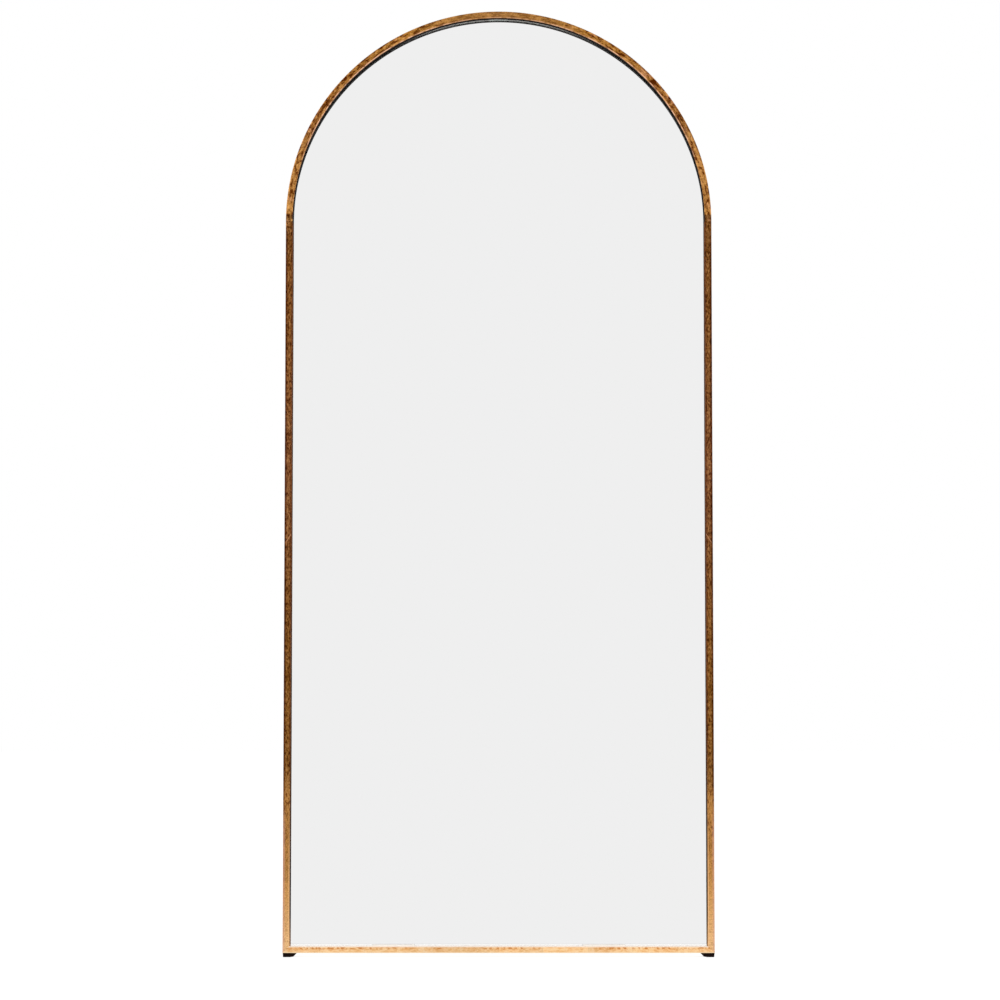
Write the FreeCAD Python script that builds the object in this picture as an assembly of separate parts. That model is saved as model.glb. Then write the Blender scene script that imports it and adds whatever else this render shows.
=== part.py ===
import FreeCAD, Part
import math
import os

# Arched floor mirror in a thin metal frame, standing upright on its two feet.
# Millimetres. +Z is up and the mirror faces -Y. The origin is on the floor, in the middle of the width and
# of the depth. A person tips the mirror back until the wall bumpers touch a wall.
#
# The frame is rectangular tube: a half-circle arch, two legs and a bottom rail. Splice bars join the arch to
# the legs and corner keys join the legs to the rail. Tabs welded inside the frame carry a board, the glass is
# taped to the board, and both rest on setting blocks on the bottom rail.

Vector = FreeCAD.Vector

# ---- Driving dimensions ----

overall_height = 1803.0
overall_width = 813.0

# frame tube: its face is seen from the front, its depth runs from front to back
tube_face = 12.7
tube_depth = 38.0
tube_wall = 1.5
tube_corner_radius = 1.2

# splice bars and corner keys, which slide inside the tube
slide_clearance = 0.1
splice_reach = 50.0
splice_screw_reach = 25.0
key_reach = 60.0
key_screw_reach = 42.0
key_lead_in = 1.5

# countersunk machine screws that hold the tube to the bars and keys
machine_screw_diameter = 4.0
machine_screw_head = 7.0
machine_screw_length = 16.0

# glass and what it is stuck to, from the front backwards
glass_recess = 18.0
glass_thickness = 4.0
glass_edge_gap = 1.2
glass_arris = 0.5
film_thickness = 0.3
film_edge_gap = 2.2
tape_thickness = 1.2
tape_width = 25.0
tape_inset = 65.0
tape_count = 4
tape_end_gap = 40.0
tape_above_springline = 120.0
board_thickness = 9.0
board_edge_gap = 1.5

# setting blocks on the bottom rail
block_height = 2.5
block_length = 80.0
block_inset = 195.0

# welded tabs
tab_width = 25.0
tab_reach = 22.0
tab_thickness = 2.0
tab_corner_radius = 3.0
tab_hole_from_wall = 13.0
tab_weld_size = 1.6
leg_tab_count = 4
leg_tab_end_gap = 120.0
arch_tab_count = 3
arch_tab_angle_step = 45.0
rail_tab_inset = 195.0

# pan-head wood screws that hold the tabs and the hanger straps to the board
wood_screw_diameter = 3.5
wood_screw_head = 7.0
wood_screw_head_height = 2.0
wood_screw_length = 9.5
wood_screw_tip = 3.0

# hanger straps and their D-rings
hanger_inset = 65.0
hanger_below_springline = 60.0
strap_width = 15.0
strap_length = 46.0
strap_layer = 1.0
strap_end_radius = 5.0
strap_first_hole = 25.0
strap_hole_spacing = 13.0
ring_wire = 3.0
ring_inner_width = 22.0
ring_side_length = 2.0
ring_corner_radius = 3.5
ring_rest_gap = 0.2

# wall bumpers on the back of the frame
bumper_diameter = 9.5
bumper_height = 4.0
bumper_edge_radius = 1.2
arch_bumper_angle = 30.0
leg_bumper_height = 150.0

# feet, each bevelled on its inner end
foot_height = 8.0
foot_length = 27.0
foot_depth = 30.0
foot_outer_draft = 0.8
foot_flat_length = 14.0
foot_toe_length = 20.5
foot_toe_rise = 1.2
foot_edge_radius = 0.8

# foot screws and washers
foot_screw_inset = 11.5
foot_screw_diameter = 5.0
foot_screw_head = 9.0
foot_screw_head_height = 2.5
foot_screw_length = 12.0
washer_diameter = 12.0
washer_thickness = 1.0
washer_seat_height = 4.5
counterbore_clearance = 0.2

# shared by every fastener
thread_clearance = 0.05
hole_clearance = 0.2
hole_end_gap = 0.3
recess_depth_share = 0.6

# ---- Sizes that follow from them ----

outer_radius = overall_width / 2
inner_radius = outer_radius - tube_face
middle_radius = outer_radius - tube_face / 2
springline = overall_height - outer_radius

rail_bottom = foot_height
rail_top = rail_bottom + tube_face
pack_bottom = rail_top + block_height

front = -(tube_depth + bumper_height) / 2
back = front + tube_depth
middle_depth = (front + back) / 2

glass_front = front + glass_recess
glass_back = glass_front + glass_thickness
film_back = glass_back + film_thickness
board_front = film_back + tape_thickness
board_back = board_front + board_thickness
tab_back = board_back + tab_thickness
strap_back = board_back + 2 * strap_layer

wire_radius = ring_wire / 2
ring_pivot_depth = board_back + strap_layer + thread_clearance + wire_radius
hanger_side = inner_radius - hanger_inset
hanger_pivot_height = springline - hanger_below_springline

SIDES = {"left": -1, "right": 1}
BACKWARDS = Vector(0, 1, 0)
DOWNWARDS = Vector(0, 0, -1)


# ---- Helpers ----

def box(low, high):
    size = Vector(*high) - Vector(*low)
    return Part.makeBox(size.x, size.y, size.z, Vector(*low))


def cylinder(radius, start, end):
    axis = Vector(*end) - Vector(*start)
    return Part.makeCylinder(radius, axis.Length, Vector(*start), axis)


def mirrored(shape, side):
    """The shape drawn for the right side (+X), or its mirror image for the left."""
    return shape if side > 0 else shape.mirror(Vector(0, 0, 0), Vector(1, 0, 0))


def aimed(shape, place, direction):
    """A shape drawn along +Z from the origin, turned to point along direction and moved to place."""
    turned = shape.copy()
    turned.Placement = FreeCAD.Placement(Vector(*place), FreeCAD.Rotation(Vector(0, 0, 1), direction))
    return turned


def upright_prism(points, low_depth, high_depth):
    """A prism whose outline is drawn in the X-Z plane and which runs from low_depth to high_depth along Y."""
    outline = Part.makePolygon([Vector(x, low_depth, z) for x, z in points + points[:1]])
    return Part.Face(outline).extrude(Vector(0, high_depth - low_depth, 0))


def on_arch(radius, angle, depth):
    """A point at this radius from the arch's centre. Angle 0 is to the right and 90 is the top."""
    turn = math.radians(angle)
    return radius * math.cos(turn), depth, springline + radius * math.sin(turn)


def rounded_rectangle(low, high, radius):
    """A closed wire in the X-Y plane."""
    (x0, y0), (x1, y1) = low, high
    corners = [(x1 - radius, y0 + radius, -90), (x1 - radius, y1 - radius, 0),
               (x0 + radius, y1 - radius, 90), (x0 + radius, y0 + radius, 180)]
    arcs = []
    for x, y, start in corners:
        ends = [math.radians(start + turn) for turn in (0, 45, 90)]
        arcs.append([Vector(x + radius * math.cos(a), y + radius * math.sin(a), 0) for a in ends])
    edges = []
    for arc, following in zip(arcs, arcs[1:] + arcs[:1]):
        edges.append(Part.Arc(*arc).toShape())
        edges.append(Part.makeLine(arc[2], following[0]))
    return Part.Wire(edges)


# ---- Fasteners, drawn with the head's underside or rim at the origin and the shank running down -Z ----

def cross_recess(head_diameter, depth, top):
    long_side, short_side = head_diameter * 0.3, head_diameter * 0.07
    arms = [box((-a, -b, top - depth), (a, b, top + 1)) for a, b in
            ((long_side, short_side), (short_side, long_side))]
    return arms[0].fuse(arms[1])


def pan_screw(diameter, head_diameter, head_height, length, tip):
    """Pan-head screw with its head above the origin. A tip of 0 gives a blunt machine screw."""
    radius, head_radius = diameter / 2, head_diameter / 2
    crown = Vector(head_radius * 0.5, 0, head_height)
    shoulder = Vector(head_radius * 0.88, 0, head_height * 0.8)
    rim = Vector(head_radius, 0, head_height * 0.3)
    corners = [rim, Vector(head_radius, 0, 0), Vector(radius, 0, 0), Vector(radius, 0, tip - length),
               Vector(0, 0, -length), Vector(0, 0, head_height), crown]
    edges = [Part.makeLine(a, b) for a, b in zip(corners, corners[1:])]
    edges.append(Part.Arc(crown, shoulder, rim).toShape())
    solid = Part.Face(Part.Wire(edges)).revolve(Vector(0, 0, 0), Vector(0, 0, 1), 360)
    return solid.cut(cross_recess(head_diameter, head_height * recess_depth_share, head_height))


def countersunk_screw():
    """Machine screw whose head is flush with the origin."""
    radius, head_radius = machine_screw_diameter / 2, machine_screw_head / 2
    cone_height = head_radius - radius
    head = Part.makeCone(radius, head_radius, cone_height, Vector(0, 0, -cone_height))
    shank = Part.makeCylinder(radius, machine_screw_length - cone_height, Vector(0, 0, -machine_screw_length))
    recess = cross_recess(machine_screw_head, cone_height * recess_depth_share, 0)
    return head.fuse(shank).cut(recess)


def countersunk_hole():
    """What the countersunk screw needs cut from the tube and from what it is screwed into."""
    radius = machine_screw_diameter / 2 + thread_clearance
    head_radius = machine_screw_head / 2 + thread_clearance
    cone_height = head_radius - radius
    cone = Part.makeCone(radius, head_radius, cone_height, Vector(0, 0, -cone_height))
    depth = machine_screw_length + hole_end_gap
    return cone.fuse(Part.makeCylinder(radius, depth, Vector(0, 0, -depth)))


def wood_screw():
    return pan_screw(wood_screw_diameter, wood_screw_head, wood_screw_head_height, wood_screw_length,
                     wood_screw_tip)


def wood_screw_pilot():
    radius = wood_screw_diameter / 2 + thread_clearance
    depth = wood_screw_length + hole_end_gap
    return Part.makeCylinder(radius, depth, Vector(0, 0, -depth))


# ---- Places of the fasteners ----

def splice_screw_places(side):
    """One in the leg and one in the arch, on the back of the tube."""
    turn = math.degrees(splice_screw_reach / middle_radius)
    x, y, z = on_arch(middle_radius, turn, back)
    return [(side * middle_radius, back, springline - splice_screw_reach), (side * x, y, z)]


def key_screw_places(side):
    """One in the leg and one in the bottom rail, on the back of the tube."""
    in_leg = (side * middle_radius, back, rail_bottom + key_screw_reach)
    in_rail = (side * (outer_radius - key_screw_reach), back, rail_bottom + tube_face / 2)
    return [in_leg, in_rail]


def tab_frames():
    """Each tab's name, the X and Z where it meets the frame's inner wall, and the angle that it reaches at."""
    frames = {}
    lowest, highest = rail_top + leg_tab_end_gap, springline - leg_tab_end_gap
    for name, side in SIDES.items():
        for i in range(leg_tab_count):
            height = lowest + i * (highest - lowest) / (leg_tab_count - 1)
            frames[f"board_tab_{name}_{i + 1}"] = (side * inner_radius, height, 90 + 90 * side)
    sagitta = inner_radius - math.sqrt(inner_radius ** 2 - (tab_width / 2) ** 2)
    for i in range(arch_tab_count):
        angle = 90 + (i - (arch_tab_count - 1) / 2) * arch_tab_angle_step
        x, _, z = on_arch(inner_radius - sagitta, angle, 0)
        frames[f"board_tab_arch_{i + 1}"] = (x, z, angle + 180)
    for name, side in SIDES.items():
        frames[f"board_tab_rail_{name}"] = (side * (inner_radius - rail_tab_inset), rail_top, 90)
    return frames


def tab_screw_places():
    places = []
    for x, z, angle in tab_frames().values():
        turn = math.radians(angle)
        reach = tab_hole_from_wall
        places.append((x + reach * math.cos(turn), tab_back, z + reach * math.sin(turn)))
    return places


def hanger_screw_places(side):
    first = hanger_pivot_height - strap_first_hole
    return [(side * hanger_side, strap_back, z) for z in (first, first - strap_hole_spacing)]


def foot_screw_place(side, height):
    return side * (outer_radius - foot_screw_inset), middle_depth, height


# ---- Frame ----

def tube_section():
    """Wall of the tube as a face, centred on X = 0."""
    half = tube_face / 2
    outside = rounded_rectangle((-half, front), (half, back), tube_corner_radius)
    hollow = box((-half + tube_wall, front + tube_wall, -1), (half - tube_wall, back - tube_wall, 1))
    return Part.Face(outside).cut(hollow).Faces[0]


def mitre_triangle(corner_x, corner_z):
    """The half of the square at the frame's lower right corner that holds this corner of the square."""
    outer, inner = outer_radius, inner_radius
    points = [(outer, rail_bottom), (corner_x, corner_z), (inner, rail_top)]
    return upright_prism(points, front - 1, back + 1)


def with_screw_holes(shape, places):
    for place in places:
        shape = shape.cut(aimed(countersunk_hole(), place, BACKWARDS))
    return shape


def frame_leg(side):
    tube = tube_section().extrude(Vector(0, 0, springline - rail_bottom))
    tube.translate(Vector(middle_radius, 0, rail_bottom))
    tube = tube.cut(mitre_triangle(inner_radius, rail_bottom))
    return mirrored(with_screw_holes(tube, [splice_screw_places(1)[0], key_screw_places(1)[0]]), side)


def frame_arch():
    section = tube_section()
    section.translate(Vector(middle_radius, 0, springline))
    arch = section.revolve(Vector(0, 0, springline), Vector(0, -1, 0), 180)
    return with_screw_holes(arch, [splice_screw_places(side)[1] for side in SIDES.values()])


def frame_bottom_rail():
    tube = tube_section().extrude(Vector(0, 0, overall_width))
    tube.rotate(Vector(0, 0, 0), Vector(0, 1, 0), 90)
    tube.translate(Vector(-outer_radius, 0, rail_bottom + tube_face / 2))
    hole_radius = foot_screw_diameter / 2 + hole_clearance
    for side in SIDES.values():
        tube = tube.cut(mirrored(mitre_triangle(outer_radius, rail_top), side))
        hole = cylinder(hole_radius, foot_screw_place(side, rail_bottom - 1),
                        foot_screw_place(side, rail_bottom + tube_wall + 1))
        tube = with_screw_holes(tube.cut(hole), key_screw_places(side)[1:])
    return tube


def splice_bar(side):
    """Bar inside the tube that runs from the leg into the arch and follows the arch's curve."""
    gap = tube_wall + slide_clearance
    low = (inner_radius + gap, front + gap, springline - splice_reach)
    high = (outer_radius - gap, back - gap, springline)
    straight = box(low, high)
    end = Part.makePlane(high[0] - low[0], high[1] - low[1], Vector(low[0], low[1], springline))
    bend = math.degrees(splice_reach / middle_radius)
    curved = end.revolve(Vector(0, 0, springline), Vector(0, -1, 0), bend)
    bar = straight.fuse(curved).removeSplitter()
    return mirrored(with_screw_holes(bar, splice_screw_places(1)), side)


def corner_key(side):
    """L-shaped key inside the mitre of a leg and the bottom rail."""
    gap = tube_wall + slide_clearance
    outer, low = outer_radius - gap, rail_bottom + gap
    inner, high = inner_radius + gap, rail_top - gap
    far, tall = outer - key_reach, low + key_reach
    lead = key_lead_in
    points = [(outer - lead, low), (outer, low + lead), (outer, tall - lead), (outer - lead, tall),
              (inner + lead, tall), (inner, tall - lead), (inner, high), (far + lead, high),
              (far, high - lead), (far, low + lead), (far + lead, low)]
    key = upright_prism(points, front + gap, back - gap)
    tapped = foot_screw_diameter / 2 + thread_clearance
    top = washer_seat_height - washer_thickness + foot_screw_length + hole_end_gap
    key = key.cut(cylinder(tapped, foot_screw_place(1, low - 1), foot_screw_place(1, top)))
    return mirrored(with_screw_holes(key, key_screw_places(1)), side)


def countersunk_screws(places):
    return Part.makeCompound([aimed(countersunk_screw(), place, BACKWARDS) for place in places])


# ---- Glass, film, tape and board ----

def arched_plate(edge_gap, bottom, low_depth, high_depth):
    """A plate with the frame's inner outline, edge_gap smaller at the sides and the top."""
    half = inner_radius - edge_gap
    corners = [Vector(*on_arch(half, angle, low_depth)) for angle in (0, 90, 180)]
    low_left, low_right = Vector(-half, low_depth, bottom), Vector(half, low_depth, bottom)
    edges = [Part.makeLine(low_left, low_right), Part.makeLine(low_right, corners[0]),
             Part.Arc(*corners).toShape(), Part.makeLine(corners[2], low_left)]
    return Part.Face(Part.Wire(edges)).extrude(Vector(0, high_depth - low_depth, 0))


def mirror_glass():
    plate = arched_plate(glass_edge_gap, pack_bottom, glass_front, glass_back)
    front_edges = [edge for edge in plate.Edges if edge.BoundBox.YMax < glass_front + glass_arris / 2]
    return plate.makeChamfer(glass_arris, front_edges)


def shatter_film():
    bottom = pack_bottom + film_edge_gap - glass_edge_gap
    return arched_plate(film_edge_gap, bottom, glass_back, film_back)


def foam_tape(index):
    outermost = inner_radius - tape_inset
    middle = -outermost + index * 2 * outermost / (tape_count - 1)
    low = (middle - tape_width / 2, film_back, pack_bottom + tape_end_gap)
    return box(low, (middle + tape_width / 2, board_front, springline + tape_above_springline))


def backing_board():
    board = arched_plate(board_edge_gap, pack_bottom, board_front, board_back)
    places = tab_screw_places()
    for side in SIDES.values():
        places += hanger_screw_places(side)
    pilots = [aimed(wood_screw_pilot(), place, BACKWARDS) for place in places]
    return board.cut(pilots)


def setting_block(side):
    middle = inner_radius - block_inset
    low = (middle - block_length / 2, glass_front, rail_top)
    return mirrored(box(low, (middle + block_length / 2, board_back, pack_bottom)), side)


# ---- Tabs ----

def board_tab(place):
    """Flat plate with a rounded free end and a weld bead along the frame's inner wall."""
    x, z, angle = place
    half, corner = tab_width / 2, tab_corner_radius
    outline = rounded_rectangle((-corner, -half), (tab_reach, half), corner)
    plate = Part.Face(outline).extrude(Vector(0, 0, tab_thickness))
    plate = plate.cut(box((-corner - 1, -half - 1, -1), (0, half + 1, tab_thickness + 1)))
    hole_radius, hole_x = wood_screw_diameter / 2 + hole_clearance, tab_hole_from_wall
    plate = plate.cut(cylinder(hole_radius, (hole_x, 0, -1), (hole_x, 0, tab_thickness + 1)))
    bead_profile = [Vector(0, -half, tab_thickness), Vector(tab_weld_size, -half, tab_thickness),
                    Vector(0, -half, tab_thickness + tab_weld_size)]
    bead = Part.Face(Part.makePolygon(bead_profile + bead_profile[:1])).extrude(Vector(0, tab_width, 0))
    tab = plate.fuse(bead).removeSplitter()
    # drawn flat with its reach along +X and its back up: stand it up, aim it, move it to the board's back
    tab.rotate(Vector(0, 0, 0), Vector(1, 0, 0), -90)
    tab.rotate(Vector(0, 0, 0), Vector(0, 1, 0), -angle)
    tab.translate(Vector(x, board_back, z))
    return tab


def wood_screws(places):
    return Part.makeCompound([aimed(wood_screw(), place, BACKWARDS) for place in places])


# ---- Hangers ----

def hanger_strap(side):
    """Strip folded round the D-ring's bar, with both layers screwed to the board."""
    x, z = side * hanger_side, hanger_pivot_height
    half = strap_width / 2
    bore = wire_radius + thread_clearance
    ends = [(x - half, ring_pivot_depth, z), (x + half, ring_pivot_depth, z)]
    fold = cylinder(bore + strap_layer, *ends)
    fold_end = z - bore - strap_layer / 2
    outline = rounded_rectangle((-half, -strap_length), (half, 0), strap_end_radius)
    layers = Part.Face(outline).extrude(Vector(0, 0, -2 * strap_layer))
    layers.rotate(Vector(0, 0, 0), Vector(1, 0, 0), 90)
    layers.translate(Vector(x, board_back, z))
    layers = layers.cut(box((x - half - 1, board_back - 1, fold_end), (x + half + 1, strap_back + 1, z + 1)))
    back_layer = box((x - half, board_back, fold_end), (x + half, board_back + strap_layer, z))
    strap = fold.fuse([back_layer, layers]).cut(cylinder(bore, (ends[0][0] - 1,) + ends[0][1:],
                                                          (ends[1][0] + 1,) + ends[1][1:]))
    hole_radius = wood_screw_diameter / 2 + hole_clearance
    for place_x, _, place_z in hanger_screw_places(side):
        strap = strap.cut(cylinder(hole_radius, (place_x, board_back - 1, place_z),
                                   (place_x, strap_back + 1, place_z)))
    return strap.removeSplitter()


def rod_bend(start, centre, axis, angle):
    """A bent length of ring wire: its round end at start is swung about centre."""
    start, centre, axis = Vector(*start), Vector(*centre), Vector(*axis)
    heading = axis.cross(start - centre)
    disc = Part.Face(Part.Wire(Part.makeCircle(wire_radius, start, heading)))
    return disc.revolve(centre, axis, angle)


def hanger_ring(side):
    """D-ring that hangs from its straight bar and leans on the strap."""
    x, y, z = side * hanger_side, ring_pivot_depth, hanger_pivot_height
    half = (ring_inner_width + ring_wire) / 2
    corner = ring_corner_radius
    low = z - corner - ring_side_length
    pieces = [cylinder(wire_radius, (x - half + corner, y, z), (x + half - corner, y, z)),
              rod_bend((x + half, y, low), (x, y, low), (0, 1, 0), 180)]
    for way in (-1, 1):
        pieces.append(cylinder(wire_radius, (x + way * half, y, low), (x + way * half, y, z - corner)))
        pieces.append(rod_bend((x + way * half, y, z - corner), (x + way * (half - corner), y, z - corner),
                               (0, -way, 0), 90))
    ring = pieces[0].fuse(pieces[1:]).removeSplitter()
    reach = z - low + half
    lift = strap_back + ring_rest_gap + wire_radius - ring_pivot_depth
    ring.rotate(Vector(x, y, z), Vector(1, 0, 0), math.degrees(math.asin(lift / reach)))
    return ring


# ---- Bumpers and feet ----

def wall_bumper(x, z):
    radius, edge = bumper_diameter / 2, bumper_edge_radius
    disc = Part.makeCylinder(radius, bumper_height)
    rim = [e for e in disc.Edges if e.BoundBox.ZMin > bumper_height / 2 and len(e.Vertexes) == 1]
    return aimed(disc.makeFillet(edge, rim), (x, back, z), BACKWARDS)


def foot(side):
    """Rubber foot, flush with the leg's outer side, with a flat sole that lifts towards its inner end."""
    points = [(0, foot_height), (foot_outer_draft, 0), (foot_flat_length, 0),
              (foot_toe_length, foot_toe_rise), (foot_length, foot_height)]
    near, far = middle_depth - foot_depth / 2, middle_depth + foot_depth / 2
    block = upright_prism([(outer_radius - inwards, z) for inwards, z in points], near, far)
    rim = [e for e in block.Edges if e.BoundBox.YLength < 1 and e.BoundBox.ZMin < foot_height / 2]
    block = block.makeFillet(foot_edge_radius, rim)
    counterbore = cylinder(washer_diameter / 2 + counterbore_clearance, foot_screw_place(1, -1),
                           foot_screw_place(1, washer_seat_height))
    hole = cylinder(foot_screw_diameter / 2 + hole_clearance, foot_screw_place(1, 0),
                    foot_screw_place(1, foot_height + 1))
    return mirrored(block.cut([counterbore, hole]), side)


def foot_washer(side):
    under = washer_seat_height - washer_thickness
    disc = cylinder(washer_diameter / 2, foot_screw_place(side, under),
                    foot_screw_place(side, washer_seat_height))
    hole = cylinder(foot_screw_diameter / 2 + hole_clearance, foot_screw_place(side, under - 1),
                    foot_screw_place(side, foot_height))
    return disc.cut(hole)


def foot_screw(side):
    screw = pan_screw(foot_screw_diameter, foot_screw_head, foot_screw_head_height, foot_screw_length, 0)
    return aimed(screw, foot_screw_place(side, washer_seat_height - washer_thickness), DOWNWARDS)


# ---- The whole mirror ----

def all_pieces():
    pieces = {
        "frame_arch": frame_arch(),
        "frame_bottom_rail": frame_bottom_rail(),
        "mirror_glass": mirror_glass(),
        "shatter_film": shatter_film(),
        "backing_board": backing_board(),
        "board_tab_screws": wood_screws(tab_screw_places()),
    }
    for index in range(tape_count):
        pieces[f"foam_tape_{index + 1}"] = foam_tape(index)
    for name, place in tab_frames().items():
        pieces[name] = board_tab(place)
    for name, side in SIDES.items():
        bumper_x, _, bumper_z = on_arch(middle_radius, 90 - side * arch_bumper_angle, back)
        pieces.update({
            f"frame_leg_{name}": frame_leg(side),
            f"splice_bar_{name}": splice_bar(side),
            f"splice_screws_{name}": countersunk_screws(splice_screw_places(side)),
            f"corner_key_{name}": corner_key(side),
            f"corner_key_screws_{name}": countersunk_screws(key_screw_places(side)),
            f"setting_block_{name}": setting_block(side),
            f"hanger_strap_{name}": hanger_strap(side),
            f"hanger_ring_{name}": hanger_ring(side),
            f"hanger_screws_{name}": wood_screws(hanger_screw_places(side)),
            f"wall_bumper_arch_{name}": wall_bumper(bumper_x, bumper_z),
            f"wall_bumper_leg_{name}": wall_bumper(side * middle_radius, leg_bumper_height),
            f"foot_{name}": foot(side),
            f"foot_washer_{name}": foot_washer(side),
            f"foot_screw_{name}": foot_screw(side),
        })
    return pieces


os.makedirs("parts", exist_ok=True)
for node, solid in all_pieces().items():
    print(f"{node}: {len(solid.Solids)} solid(s), {solid.Volume / 1000:.2f} cm3, valid {solid.isValid()}")
    solid.exportStep(f"parts/{node}.step")
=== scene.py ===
import math

import bmesh
import bpy
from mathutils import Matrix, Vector


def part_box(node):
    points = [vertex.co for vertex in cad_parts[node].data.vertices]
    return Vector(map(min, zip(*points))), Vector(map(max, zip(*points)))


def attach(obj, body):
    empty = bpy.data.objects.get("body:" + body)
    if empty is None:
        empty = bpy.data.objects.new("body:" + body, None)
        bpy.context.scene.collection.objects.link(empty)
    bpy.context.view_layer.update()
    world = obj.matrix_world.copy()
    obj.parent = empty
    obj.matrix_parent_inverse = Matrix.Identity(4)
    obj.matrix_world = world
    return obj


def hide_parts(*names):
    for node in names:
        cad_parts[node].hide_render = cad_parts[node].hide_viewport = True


# The leaning arched mirror, dressed: gilded tube frame, silvered glass and everything on the back.
# Metres, +Z up, front towards -Y, as the CAD parts are.

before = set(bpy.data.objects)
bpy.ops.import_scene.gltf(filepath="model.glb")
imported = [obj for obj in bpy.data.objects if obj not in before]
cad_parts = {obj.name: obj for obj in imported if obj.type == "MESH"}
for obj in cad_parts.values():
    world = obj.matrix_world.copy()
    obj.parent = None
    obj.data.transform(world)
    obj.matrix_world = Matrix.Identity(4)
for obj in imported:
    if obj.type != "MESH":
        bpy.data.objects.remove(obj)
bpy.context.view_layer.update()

# ---- Places read from the CAD parts ----

arch_low, arch_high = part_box("frame_arch")
rail_low, rail_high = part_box("frame_bottom_rail")
glass_low, glass_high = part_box("mirror_glass")

OUTER = arch_high.x
FACE = rail_high.z - rail_low.z
INNER = OUTER - FACE
MIDDLE = OUTER - FACE / 2
SPRING = arch_low.z
RISE = (arch_high.z - SPRING) / OUTER
FRONT, BACK = rail_low.y, rail_high.y
HALF_DEPTH = (BACK - FRONT) / 2
RAIL_BOTTOM, RAIL_TOP = rail_low.z, rail_high.z
WALL = 0.0015
CORNER = 0.0012
INNER_CORNER = 0.0002

# ---- Meshes ----

CORNER_STEPS = 6
FLAT_STEPS = 6
FLAT_MARGIN = 0.0002
JOINT_GROOVE = 0.00012
INNER_RING_EVERY = 3


def make_object(name, mesh, material, smooth_angle=30):
    """A finished mesh as an object, with smooth shading that breaks at sharp edges."""
    mesh.validate()
    mesh.polygons.foreach_set("use_smooth", [True] * len(mesh.polygons))
    mesh.set_sharp_from_angle(angle=math.radians(smooth_angle))
    piece = bpy.data.objects.new(name, mesh)
    bpy.context.scene.collection.objects.link(piece)
    mesh.materials.clear()
    mesh.materials.append(material)
    return piece


def mesh_from(name, points, faces):
    """A closed mesh with its faces turned outwards."""
    work = bmesh.new()
    verts = [work.verts.new(p) for p in points]
    for face in faces:
        work.faces.new([verts[i] for i in face])
    bmesh.ops.recalc_face_normals(work, faces=work.faces)
    if work.calc_volume(signed=True) < 0:
        bmesh.ops.reverse_faces(work, faces=work.faces)
    mesh = bpy.data.meshes.new(name)
    work.to_mesh(mesh)
    work.free()
    return mesh


def stand_for(piece, nodes, body):
    """The piece shows in place of the CAD nodes and moves with the body."""
    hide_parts(*nodes)
    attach(piece, body)
    return piece


def ring_faces(first, second, count):
    """Quads between two closed rings of count points, whose numbers start at first and second."""
    return [(first + k, first + (k + 1) % count, second + (k + 1) % count, second + k) for k in range(count)]


def section_loop(half_face, low, high, radius):
    """The tube's section as (across, depth) points: a rounded rectangle with extra points along its flats."""
    corners = [(half_face - radius, low + radius, -90), (half_face - radius, high - radius, 0),
               (-half_face + radius, high - radius, 90), (-half_face + radius, low + radius, 180)]
    points = []
    for index, (a, y, start) in enumerate(corners):
        for step in range(CORNER_STEPS + 1):
            turn = math.radians(start + 90 * step / CORNER_STEPS)
            points.append((a + radius * math.cos(turn), y + radius * math.sin(turn)))
        next_a, next_y, next_start = corners[(index + 1) % 4]
        turn = math.radians(next_start)
        end = (next_a + radius * math.cos(turn), next_y + radius * math.sin(turn))
        begin = points[-1]
        length = math.dist(begin, end)
        margin = min(FLAT_MARGIN, length / 8)
        for step in range(FLAT_STEPS + 1):
            share = (margin + (length - 2 * margin) * step / FLAT_STEPS) / length
            points.append((begin[0] + (end[0] - begin[0]) * share, begin[1] + (end[1] - begin[1]) * share))
    return points


def sweep_tube(name, place, runs):
    """A hollow tube with a fine groove at its ends.

    place(run, across, depth) gives a point, and runs are the stations from end to end.
    """
    outer = section_loop(FACE / 2, FRONT, BACK, CORNER)
    inner = section_loop(FACE / 2 - WALL, FRONT + WALL, BACK - WALL, INNER_CORNER)
    count = len(outer)
    middle_y = (FRONT + BACK) / 2
    points, faces = [], []
    outer_starts, inner_starts = [], []
    for index, run in enumerate(runs):
        shrink = JOINT_GROOVE if index in (0, len(runs) - 1) else 0
        narrow, thin = 1 - shrink / (FACE / 2), 1 - shrink / HALF_DEPTH
        outer_starts.append(len(points))
        points += [place(run, a * narrow, middle_y + (y - middle_y) * thin) for a, y in outer]
    for run in (runs[0],) + runs[1:-1:INNER_RING_EVERY] + (runs[-1],):
        inner_starts.append(len(points))
        points += [place(run, a, y) for a, y in inner]
    for starts in (outer_starts, inner_starts):
        for low, high in zip(starts, starts[1:]):
            faces += ring_faces(low, high, count)
    for end in (0, -1):
        faces += ring_faces(outer_starts[end], inner_starts[end], count)
    return mesh_from(name, points, faces)


def lathe_mesh(name, profile, place, axis, steps=48):
    """A solid of revolution. The profile's points are (radius, height along axis)."""
    axis = Vector(axis).normalized()
    side = axis.orthogonal().normalized()
    other = axis.cross(side)
    points, faces = [], []
    for radius, height in profile:
        for k in range(steps):
            turn = 2 * math.pi * (k + 0.5) / steps
            outwards = side * math.cos(turn) + other * math.sin(turn)
            points.append(Vector(place) + axis * height + outwards * radius)
    last = (len(profile) - 1) * steps
    for start in range(0, last, steps):
        faces += ring_faces(start, start + steps, steps)
    faces.append(tuple(range(steps)))
    faces.append(tuple(range(last, last + steps)))
    return mesh_from(name, points, faces)


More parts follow.
